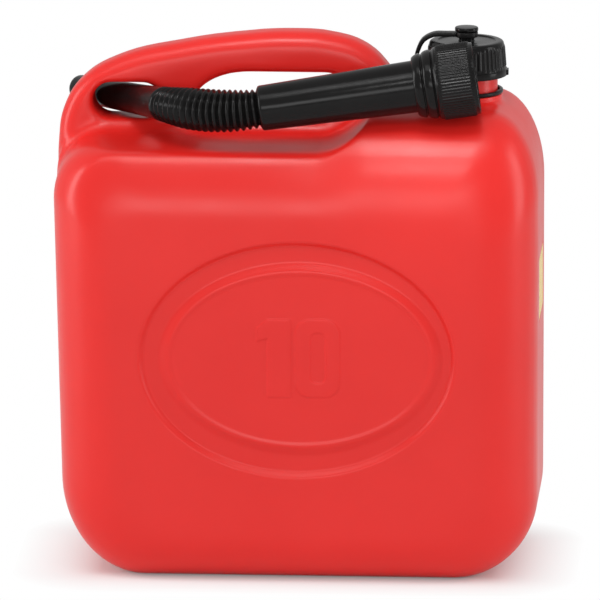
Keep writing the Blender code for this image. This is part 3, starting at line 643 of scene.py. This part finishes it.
def refine(mesh):
    """Finer mesh where the channel, the numeral and the label's recess are pressed in."""
    face_y, side_x = 0.0785, 0.1475
    outer_margin, inner_margin, recess_margin = 0.0022, -0.0028, -0.0026
    work = bmesh.new()
    work.from_mesh(mesh)

    def cut(keep, cuts):
        edges = set()
        for face in work.faces:
            if keep(face.calc_center_median()):
                edges.update(face.edges)
        bmesh.ops.subdivide_edges(work, edges=list(edges), cuts=cuts, use_grid_fill=True)

    def in_channel(c):
        if abs(c.y) < face_y:
            return False
        outer = oval_share(c.x, c.z, CHANNEL_OUTER, outer_margin)
        inner = oval_share(c.x, c.z, CHANNEL_INNER, inner_margin)
        return outer < 1 < inner

    def in_digits(c):
        return c.y < -face_y and DIGITS_X[0] < c.x < DIGITS_X[1] and DIGITS_Z[0] < c.z < DIGITS_Z[1]

    def in_recess(c):
        return c.x > side_x and recess_inside(c.y, c.z) > recess_margin

    cut(in_channel, 1)
    cut(in_digits, 3)
    cut(in_recess, 1)
    work.to_mesh(mesh)
    work.free()


def sculpt(mesh):
    """Press in the channel, the shoulders' fold and the label's recess, and raise the numeral."""
    face_y, side_x = 0.0775, 0.1470
    co = np.zeros(len(mesh.vertices) * 3)
    mesh.vertices.foreach_get("co", co)
    co = co.reshape(-1, 3)
    x, y, z = co.T.copy()
    outer = oval_inside(x, z, CHANNEL_OUTER)
    inner = oval_inside(x, z, CHANNEL_INNER)
    channel = (CHANNEL_DEPTH * smooth_step(outer, CHANNEL_OUTER_RUN)
               * smooth_step(-inner, CHANNEL_INNER_RUN))
    plate = PLATE_RISE * smooth_step(inner, PLATE_RUN)
    digits = PLATE_RISE * smooth_step(raised_digits(x, z) + DIGITS_GROW, DIGITS_RUN)
    front, back, side = y < -face_y, y > face_y, x > side_x
    co[front, 1] += (channel + plate - digits)[front]
    co[back, 1] -= (channel + plate)[back]
    fold = (FOLD_DEPTH * smooth_step(z - FOLD_Z[0], FOLD_Z[1])
            * smooth_step(np.abs(y) - FOLD_Y[0], FOLD_Y[1])
            * (1 - smooth_step(x - FOLD_X[0], FOLD_X[1])))
    co[:, 1] -= np.sign(y) * fold
    recess = RECESS_DEPTH * smooth_step(recess_inside(y, z) + RECESS_RUN / 2, RECESS_RUN)
    co[side, 0] -= recess[side]
    mesh.vertices.foreach_set("co", co.reshape(-1))
    mesh.update()


def can_skin():
    """The whole moulding but the neck, as one skin."""
    start = HALF_D - SHOULDER_R
    levels = [start + SHOULDER_R * math.sin(math.radians(a)) for a in SHOULDER_ANGLES]
    levels += [WEB + LIP_REACH - LIP_R * math.sin(math.radians(a)) for a in LIP_ANGLES]
    tank = loft("can_skin", mirrored(levels, tank_outline))
    hand_corners = ((0.13, 0.40), (0.17, 0.52), (0.35, 0.76), (0.09, 0.22))
    slot_corners = ((0.264, 0.499),) * 4
    tools = [
        (handle_plate(), 'UNION'),
        (cylinder("collar_stub", COLLAR_R - 0.0001, low=0.270, high=0.2926), 'UNION'),
        (hole("hand_hole", left=-0.06501, length=0.09802, bottom=0.280, height=0.0274,
              shares=hand_corners), 'DIFFERENCE'),
        (hole("nozzle_slot", left=-0.127, length=0.042, bottom=0.2777, height=0.0222,
              shares=slot_corners), 'DIFFERENCE'),
        (cylinder("neck_pit", NECK_BORE, low=0.250, high=0.300), 'DIFFERENCE'),
    ]
    for tool, operation in tools:
        modifier = tank.modifiers.new(tool.name, 'BOOLEAN')
        modifier.operation = operation
        modifier.object = tool
        modifier.solver = 'EXACT'
    remesh = tank.modifiers.new("melt", 'REMESH')
    remesh.mode = 'VOXEL'
    remesh.voxel_size = 0.0016
    soften = tank.modifiers.new("soften", 'SMOOTH')
    soften.factor = 0.5
    soften.iterations = 7
    mesh = baked(tank)
    for tool, _ in tools:
        bpy.data.objects.remove(tool)
    refine(mesh)
    sculpt(mesh)
    mesh.shade_smooth()
    dress(link("can_skin", mesh), RED, "red_plastic", "can", "can_body")


def can_neck():
    """The neck with its collar, thread and bore, in the can's own plastic."""
    thread_depth, thread_start, thread_width = 0.0010, 0.3035, 0.0024
    core = NECK_R - thread_depth
    profile = fillet([(NECK_BORE, NECK_TOP, 0.0006), (core, NECK_TOP, 0.0007),
                      (core, COLLAR_TOP, 0.0010), (COLLAR_R, COLLAR_TOP, 0.0007),
                      (COLLAR_R, COLLAR_LOW, 0.0), (NECK_BORE, COLLAR_LOW, 0.0)], closed=True)
    parts = [revolve(profile, 128), helix(core, thread_depth, 2.4, thread_start, thread_width)]
    neck = join_meshes("can_neck", [moved(part, UPRIGHT) for part in parts])
    dress(neck, RED, "red_plastic", "can")


def box_part(low, high):
    """A plain box as a (verts, faces) part."""
    xs, ys, zs = zip(low, high)
    verts = [Vector((xs[i], ys[j], zs[k])) for i in (0, 1) for j in (0, 1) for k in (0, 1)]
    faces = [(0, 1, 3, 2), (4, 6, 7, 5), (0, 4, 5, 1), (2, 3, 7, 6), (0, 2, 6, 4), (1, 5, 7, 3)]
    return verts, faces


def cap():
    """Ribbed screw cap with a stepped top, a stud and the stud's broad head."""
    flange_r, flange_top = 0.0252, CAP_BOTTOM + 0.0040
    foot_r, top_r, bore = 0.0243, 0.0229, NECK_R + FIT_GAP
    head_r, head_low, head_top, stud_r = 0.0072, 0.3326, 0.3351, 0.0048
    dish, dish_r, rim_r = CAP_TOP - 0.0007, 0.0175, 0.0180
    knee = flange_top + 0.0026
    ribs, rib_depth, rib_run = 48, 0.0005, 0.0012
    rib_low, rib_high = flange_top + rib_run, CAP_TOP - 0.0026
    lug_sink, lug_rise, lug_half, lug_edge = 0.0010, 0.0007, 0.0030, 0.0003

    def side(height):
        return foot_r + (top_r - foot_r) * (height - flange_top) / (CAP_TOP - flange_top)

    profile = fillet([
        (0.0, head_top, 0), (head_r, head_top, 0.0009), (head_r, head_low, 0.0006),
        (stud_r, head_low, 0.0004), (stud_r, dish, 0.0010), (dish_r, dish, 0.0003),
        (rim_r, CAP_TOP, 0.0003), (top_r, CAP_TOP, 0.0026), (side(knee), knee, 0.0005),
        (foot_r, flange_top, 0.0005), (flange_r, flange_top, 0.0007),
        (flange_r, CAP_BOTTOM, 0.0006), (bore, CAP_BOTTOM, 0.0004),
        (bore, CAP_INNER_TOP, 0.0006), (0.0, CAP_INNER_TOP, 0)])
    # The ribbed side gets more rows, so that the ribs can fade in and out
    dense, pieces, widest_gap, tolerance = [], 12, 0.002, 0.0002
    for near, far in zip(profile, profile[1:]):
        dense.append(near)
        gap = math.hypot(far[0] - near[0], far[1] - near[1])
        outside = min(near[0], far[0]) > top_r - tolerance and near[1] > flange_top
        if gap > widest_gap and outside:
            dense += [(near[0] + (far[0] - near[0]) * k / pieces,
                       near[1] + (far[1] - near[1]) * k / pieces) for k in range(1, pieces)]
    dense.append(profile[-1])

    def rib(r, height, angle):
        off_side = abs(r - side(height)) > 0.00015
        if off_side or height < flange_top:
            return r
        fade = between(height, rib_low, rib_high, rib_run)
        return r + rib_depth * fade * wave(angle * ribs) ** 0.8

    body = revolve(dense, 480, closed=False, radius_at=rib)
    lug = box_part((flange_r - lug_sink, -lug_half, CAP_BOTTOM + lug_edge),
                   (flange_r + lug_rise, lug_half, flange_top - lug_edge))
    thread = inner_thread(bore, 1.8, CAP_BOTTOM + 0.0030)
    shell = join_meshes("cap_shell", [moved(part, UPRIGHT) for part in (body, thread, lug)])
    dress(shell, BLACK, "black_plastic", "cap", "neck_cap")


def washer(name, outer, inner, low, thick, edge, matrix, *dressing):
    """A flat ring with round edges."""
    high = low + thick
    profile = fillet([(outer, high, edge), (outer, low, edge), (inner, low, edge),
                      (inner, high, edge)], closed=True)
    item = join_meshes(name, [moved(revolve(profile, 96), matrix)], sharp=60)
    dress(item, *dressing)


def tether():
    """The ring round the neck and the strap that rises from it to the eyelet."""
    ring_r, ring_low, ring_t, ring_bore = 0.0226, 0.2945, 0.0024, NECK_R + SEAT_GAP
    profile = fillet([(ring_r, ring_low + ring_t, 0.0009), (ring_r, ring_low, 0.0009),
                      (ring_bore, ring_low, 0.0004), (ring_bore, ring_low + ring_t, 0.0004)],
                     closed=True)
    ring = moved(revolve(profile, 128), UPRIGHT)
    foot_sink, end_reach = 0.0010, 0.0066
    foot = Vector((NECK_X - ring_r + foot_sink, ring_low + ring_t / 2))
    rise = EYE_BOTTOM + EYE_T / 2 - foot.y
    bulge, half_w, half_t, edge, waist = 0.0100, 0.0040, 0.0013, 0.0008, 0.12
    shares = ((0, 0), (0.25, 0.012), (0.63, 0.055), (0.88, 0.16), (1.0, 0.30), (0.97, 0.40),
              (0.94, 0.54), (0.81, 0.71), (0.48, 0.89), (-0.16, 0.99), (-0.93, 1.0), (-1.5, 1.0))
    line = [Vector((foot.x - bow * bulge, foot.y + up * rise)) for bow, up in shares]
    line[-1].x = NECK_X - end_reach
    line = spline(line, 6)
    last = len(line) - 1
    section = fillet([(half_w, half_t, edge), (half_w, -half_t, edge), (-half_w, -half_t, edge),
                      (-half_w, half_t, edge)], 3, closed=True)
    count = len(section)
    verts = []
    for i, place in enumerate(line):
        ahead = (line[min(i + 1, last)] - line[max(i - 1, 0)]).normalized()
        out = Vector((-ahead.y, ahead.x))
        wide = 1.0 - waist * math.sin(math.pi * i / last) ** 4
        for across, thick in section:
            spot = place + out * thick
            verts.append(Vector((spot.x, across * wide, spot.y)))
    faces = ring_faces(len(line), count)
    faces += [tuple(range(count)), tuple(reversed(range(last * count, len(line) * count)))]
    item = join_meshes("tether_ring_and_strap", [ring, (verts, faces)])
    dress(item, STRAP, "tether_plastic", None)
    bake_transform(item)
    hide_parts("tether_band")


# Spout

def bellows_line():
    """The bent middle line of the bellows, as a function of the share of its length."""
    lead_length, trail_length, fine = 0.026, 0.018, 600
    lead = BELLOWS_START - SPOUT_DIR * lead_length
    trail = BELLOWS_END - NOZZLE_DIR * trail_length
    places = []
    for i in range(fine + 1):
        t = i / fine
        places.append(BELLOWS_START * (1 - t) ** 3 + lead * 3 * t * (1 - t) ** 2
                      + trail * 3 * t * t * (1 - t) + BELLOWS_END * t ** 3)
    lengths = [0.0]
    for near, far in zip(places, places[1:]):
        lengths.append(lengths[-1] + (far - near).length)

    def at(share):
        wanted = lengths[-1] * min(max(share, 0.0), 1.0)
        low, high = 0, fine
        while high - low > 1:
            mid = (low + high) // 2
            if lengths[mid] <= wanted:
                low = mid
            else:
                high = mid
        part = (wanted - lengths[low]) / (lengths[high] - lengths[low])
        return places[low].lerp(places[high], part)

    return at


def spout():
    """Flange, tapered tube, ribbed bellows and nozzle: out along the skin and back inside it."""
    ribs, samples, rings, groove, wall = 17, 12, 48, 0.0019, 0.0018
    swells = ((0.0, 0.01197), (0.25, 0.0131), (0.50, 0.0133), (0.70, 0.0129), (1.0, 0.01091))
    places, radii = zip(*swells)
    seat, edge, bore, tube_end_r = NUT_SEAT + SEAT_GAP, 0.0004, 0.0145, 0.0139
    flange_top, neck = seat + FLANGE_T, seat - 0.0006
    start = (BELLOWS_START - NUT_END).dot(SPOUT_DIR)
    shoulder = start + 0.0030
    at = bellows_line()

    def crest(share):
        return float(np.interp(share, places, radii))

    def on_tube(*rows):
        return [(NUT_END + SPOUT_DIR * along, radius, -SPOUT_DIR) for along, radius in rows]

    def on_bellows(i, count, radius):
        ahead = at((i + 1) / count) - at((i - 1) / count)
        return at(i / count), radius, ahead.normalized()

    def on_nozzle(*rows):
        return [(BELLOWS_END + NOZZLE_DIR * along, radius, NOZZLE_DIR) for along, radius in rows]

    outer = on_tube((flange_top, NECK_R - edge), (flange_top - edge, NECK_R), (seat + edge, NECK_R),
                    (seat, NECK_R - edge), (seat - 0.0001, 0.0167), (neck, TUBE_ROOT_R))
    taper_steps = 12
    for k in range(1, taper_steps + 1):
        t = k / taper_steps
        outer += on_tube((neck * (1 - t) + shoulder * t, TUBE_ROOT_R * (1 - t) + tube_end_r * t))
    outer += on_tube((start + 0.0019, 0.01365), (start + 0.0009, 0.0120))
    total = ribs * samples
    for i in range(total + 1):
        swell = 1 - wave(math.tau * (i / samples))
        outer.append(on_bellows(i, total, crest(i / total) - groove * (1 - swell ** 0.72)))
    outer += on_nozzle((0.0008, 0.0102), (0.0022, 0.0109), (0.0042, 0.0107), (0.0110, 0.0102),
                       (0.0260, 0.0096), (0.0480, 0.0092), (0.080, 0.0087), (0.0990, 0.00838),
                       (0.1010, 0.00835), (0.1035, 0.0083), (0.1042, 0.0081),
                       (NOZZLE_LENGTH, 0.0077))
    inner = on_nozzle((NOZZLE_LENGTH, 0.0069), (0.1040, 0.0065), (0.060, 0.0070), (0.0030, 0.0072))
    inner += [on_bellows(i, rings, crest(i / rings) - groove - wall)
              for i in range(rings, -1, -1)]
    inner += on_tube((shoulder, 0.0110), (0.0, bore), (flange_top - 0.0003, bore),
                     (flange_top, 0.0148))
    item = join_meshes("spout_moulding", [sweep(outer + inner, 64)], sharp=50)
    dress(item, BLACK, "black_plastic", "spout", "spout_tube")


def nut_matrix():
    """From a frame along Z to the nut's place on the spout's line."""
    turn = Vector((0.0, 0.0, 1.0)).rotation_difference(SPOUT_DIR).to_matrix().to_4x4()
    return Matrix.Translation(NUT_END) @ turn


def nut():
    """Ribbed union nut with a domed shoulder, its mouth open."""
    radius, length, shoulder = 0.0220, 0.0380, 0.0135
    mouth, hole_r = NECK_R + FIT_GAP, TUBE_ROOT_R + FIT_GAP
    ribs, rib_base, rib_depth, rib_run = 72, 0.0004, 0.0004, 0.0010
    rib_low, rib_high = shoulder + 0.0016, length - 0.0018
    dome_shares = ((1.0, 0.975), (0.96, 0.955), (0.93, 0.928), (0.90, 0.935), (0.86, 0.962),
                   (0.76, 0.962), (0.66, 0.950), (0.57, 0.930), (0.50, 0.900), (0.455, 0.868),
                   (0.42, 0.868), (0.38, 0.892), (0.34, 0.898), (0.25, 0.888), (0.16, 0.868),
                   (0.08, 0.840), (0.02, 0.810), (0.0, 0.790))
    dome = [tuple(p) for p in spline([(radius * r, shoulder * up) for up, r in dome_shares], 4)]
    # The skirt's first rows are left to the head's rounded edge
    rows, first, proud = 40, 4, 0.0001
    skirt = [(radius + proud, length - (length - shoulder) * k / rows) for k in range(first, rows)]
    head = fillet([(mouth + 0.0003, length, 0), (radius, length, 0.0006),
                   (radius, length - 0.0020, 0)])
    inside = fillet([(hole_r, 0.0, 0), (hole_r, NUT_SEAT, 0.0002), (mouth, NUT_SEAT, 0.0005),
                     (mouth, length - 0.0004, 0.0003), (mouth + 0.0004, length, 0)], 3)

    def rib(r, height, angle):
        if height < shoulder or r < radius - 0.0002:
            return r
        fade = between(height, rib_low, rib_high, rib_run)
        return r + fade * (rib_base + rib_depth * wave(angle * ribs))

    body = revolve(head + skirt + dome + inside, 576, radius_at=rib)
    thread = inner_thread(mouth, 2.6, NUT_SEAT + 0.0075)
    shell = join_meshes("nut_shell", [moved(part, nut_matrix()) for part in (body, thread)])
    dress(shell, BLACK, "black_plastic", "nut", "spout_nut")


def label():
    """A bare film sticker with round corners in its recess."""
    corner_r, sink = 0.003, 0.0003
    low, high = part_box("side_label")
    cy, cz = (low.y + high.y) / 2, (low.z + high.z) / 2
    hy, hz = (high.y - low.y) / 2, (high.z - low.z) / 2
    outline = box_outline(cy - hy, cy + hy, cz - hz, cz + hz, ((corner_r, corner_r),) * 4, 8)
    front = [Vector((high.x, a, b)) for a, b in outline]
    back = [Vector((low.x - sink, a, b)) for a, b in outline]
    count = len(outline)
    faces = [tuple(range(count)), tuple(reversed(range(count, 2 * count)))]
    item = make("label_film", front + back, faces + ring_faces(2, count), sharp=30)
    dress(item, FILM, "label_film", "can", "side_label")


can_skin()
can_neck()
cap()
tether()
spout()
nut()
label()
washer("eyelet", EYE_R, EYE_BORE, EYE_BOTTOM, EYE_T, EYE_EDGE, UPRIGHT,
       STRAP, "tether_plastic", "eye", "tether_eye")
washer("cap_seal", *CAP_SEAL_R, NECK_TOP + SEAT_GAP, SEAL_T, SEAL_EDGE, UPRIGHT,
       RUBBER, "seal_rubber", "cap", "cap_gasket")
washer("spout_seal", *SPOUT_SEAL_R, NUT_SEAT + FLANGE_T + FIT_GAP, SEAL_T, SEAL_EDGE, nut_matrix(),
       RUBBER, "seal_rubber", "spout", "spout_gasket")


# Floor, light and camera

def floor():
    """Pale floor that keeps the shadow near the can and runs out to white behind it."""
    half = 14.0
    mesh = bpy.data.meshes.new("studio_floor")
    mesh.from_pydata([(-half, -half, 0), (half, -half, 0), (half, half, 0), (-half, half, 0)], [],
                     [(0, 1, 2, 3)])
    item = link("studio_floor", mesh)
    n = Nodes("studio_floor_white")
    seen = n.add('ShaderNodeLightPath').outputs["Is Camera Ray"]
    pale = n.colours(n.noise(1.5, 2.0, 0.5), ((0.2, (0.90, 0.90, 0.90)), (0.8, (0.91, 0.91, 0.91))))
    # Inputs 6 and 7 of this node are its two colours, and output 2 is the mixed one
    choose = n.add('ShaderNodeMix', data_type='RGBA')
    n.join(seen, choose.inputs["Factor"])
    choose.inputs[6].default_value = (0.88, 0.88, 0.88, 1.0)
    n.join(pale, choose.inputs[7])
    n.join(choose.outputs[2], n.shader.inputs["Base Color"])
    n.shader.inputs["Roughness"].default_value = 0.9
    n.shader.inputs["Specular IOR Level"].default_value = 0.0
    # Distance from the can's footprint
    place = n.coords.outputs["Object"]
    for operation, value in (('ABSOLUTE', None), ('SUBTRACT', (0.12, 0.05, 0.0)),
                             ('MAXIMUM', (0.0, 0.0, 0.0)), ('LENGTH', None)):
        step = n.add('ShaderNodeVectorMath', operation=operation)
        n.join(place, step.inputs[0])
        if value is not None:
            step.inputs[1].default_value = value
        place = step.outputs["Value" if operation == 'LENGTH' else "Vector"]
    away = n.ramp(place, 0.0, 1.0, -0.004, 0.055)
    glow = n.add('ShaderNodeEmission')
    glow.inputs["Strength"].default_value = 1.0
    mix = n.add('ShaderNodeMixShader')
    n.join(n.math('MULTIPLY', away, seen), mix.inputs["Fac"])
    n.join(n.shader.outputs["BSDF"], mix.inputs[1])
    n.join(glow.outputs["Emission"], mix.inputs[2])
    n.join(mix.outputs["Shader"], n.tree.nodes["Material Output"].inputs["Surface"])
    item.data.materials.append(n.material)


def lamp(name, kind, place, target, power, **settings):
    """A lamp at a place, turned to a target."""
    data = bpy.data.lights.new(name, kind)
    data.energy = power
    for key, value in settings.items():
        setattr(data, key, value)
    item = link(name, data)
    item.location = place
    item.rotation_euler = (Vector(place) - Vector(target)).to_track_quat('Z', 'Y').to_euler()


def area_light(name, place, width, height, power):
    """A rectangular lamp turned to the middle of the can."""
    middle = (0.0, 0.0, 0.15)
    lamp(name, 'AREA', place, middle, power, shape='RECTANGLE', size=width, size_y=height)


def spot_light(name, place, target, cone, radius, power):
    """A soft-edged spot, its cone in degrees."""
    lamp(name, 'SPOT', place, target, power, spot_size=math.radians(cone), spot_blend=1.0,
         shadow_soft_size=radius)


def world():
    """White behind the can, and a softer fill for everything that isn't seen directly."""
    white, fill, backdrop = (1.0, 1.0, 1.0, 1.0), 0.58, 1.0
    data = bpy.data.worlds.new("studio")
    bpy.context.scene.world = data
    data.use_nodes = True
    tree = data.node_tree
    tree.nodes.clear()
    mix = tree.nodes.new('ShaderNodeMixShader')
    for index, strength in ((1, fill), (2, backdrop)):
        light = tree.nodes.new('ShaderNodeBackground')
        light.inputs["Color"].default_value = white
        light.inputs["Strength"].default_value = strength
        tree.links.new(light.outputs["Background"], mix.inputs[index])
    path = tree.nodes.new('ShaderNodeLightPath')
    tree.links.new(path.outputs["Is Camera Ray"], mix.inputs["Fac"])
    out = tree.nodes.new('ShaderNodeOutputWorld')
    tree.links.new(mix.outputs["Shader"], out.inputs["Surface"])


def camera():
    """A long lens, slightly from the right and above."""
    elevation, azimuth = math.radians(12.3), math.radians(3.5)
    sensor, distance, span, rise = 36.0, 8.0, 0.372, 0.158286
    right = Vector((math.cos(azimuth), math.sin(azimuth), 0.0))
    up = Vector((-math.sin(azimuth) * math.sin(elevation), math.cos(azimuth) * math.sin(elevation),
                 math.cos(elevation)))
    back = right.cross(up)
    data = bpy.data.cameras.new("camera")
    data.sensor_width = sensor
    data.lens = sensor * distance / span
    data.clip_start = 0.1
    data.clip_end = 60.0
    item = link("camera", data)
    place = up * rise + back * distance
    item.matrix_world = Matrix(((right.x, up.x, back.x, place.x), (right.y, up.y, back.y, place.y),
                                (right.z, up.z, back.z, place.z), (0, 0, 0, 1)))
    bpy.context.scene.camera = item


floor()
world()
spot_light("key_high", (0.050, -0.41, 0.82), (0.088, -0.066, 0.275), 14, 0.05, 3.2)
spot_light("key_low", (0.050, -0.58, 0.66), (0.088, -0.074, 0.262), 14, 0.06, 2.8)
spot_light("handle_top", (-0.08, -0.60, 1.45), (-0.03, -0.01, 0.355), 13, 0.10, 18)
area_light("front_soft", (-0.3, -1.15, 2.45), 3.0, 0.9, 17)
area_light("low_front", (-0.1, -2.4, 0.70), 1.6, 0.5, 10.5)
area_light("left_edge", (-1.8, -0.2, 0.6), 0.6, 1.4, 13)
area_light("right_edge", (1.8, -0.2, 0.6), 0.6, 1.4, 9)
camera()
scene = bpy.context.scene
scene.view_settings.view_transform = 'Standard'
